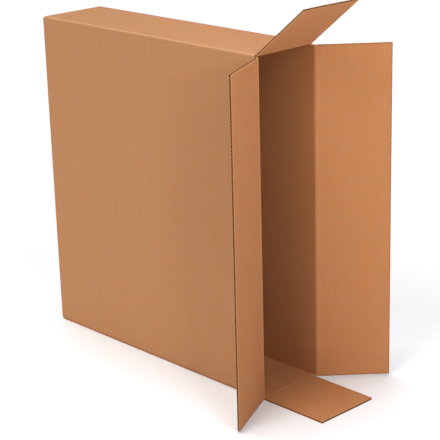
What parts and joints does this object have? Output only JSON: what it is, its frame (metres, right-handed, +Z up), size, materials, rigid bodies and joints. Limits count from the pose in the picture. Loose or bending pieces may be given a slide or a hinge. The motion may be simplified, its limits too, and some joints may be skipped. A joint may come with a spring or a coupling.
{
  "type": "open cardboard box",
  "caption": "Tall narrow corrugated cardboard box that loads from one side, standing with its side flaps, top flap and bottom flap folded open.",
  "frame": {"origin": "middle of the bottom panel's outer face, on the floor", "axes": "+X towards the open end, +Z up, -Y towards the side wall whose flap stands widest open"},
  "size_m": [0.828, 0.4132, 0.8184],
  "materials": {
    "kraft_board": "uncoated brown kraft liner, matt, with open flutes at the cut edges"
  },
  "bodies": {
    "carton": {"carton": "kraft_board"},
    "near_side_flap": {"near_side_flap": "kraft_board"},
    "far_side_flap": {"far_side_flap": "kraft_board"},
    "top_flap": {"top_flap": "kraft_board"},
    "bottom_flap": {"bottom_flap": "kraft_board"}
  },
  "joints": [
    {"name": "near_side_flap_fold", "type": "hinge", "parent": "carton", "child": "near_side_flap", "pos_m": [0.3365, -0.0802, 0.3595], "axis": [0, 0, 1], "range_deg": [-111, 154]},
    {"name": "far_side_flap_fold", "type": "hinge", "parent": "carton", "child": "far_side_flap", "pos_m": [0.341, 0.0802, 0.3595], "axis": [0, 0, -1], "range_deg": [-127, 138]},
    {"name": "top_flap_fold", "type": "hinge", "parent": "carton", "child": "top_flap", "pos_m": [0.332, 0, 0.719], "axis": [0, 1, 0], "range_deg": [-136, 129]},
    {"name": "bottom_flap_fold", "type": "hinge", "parent": "carton", "child": "bottom_flap", "pos_m": [0.332, 0, 0], "axis": [0, -1, 0], "range_deg": [0, 90]}
  ]
}
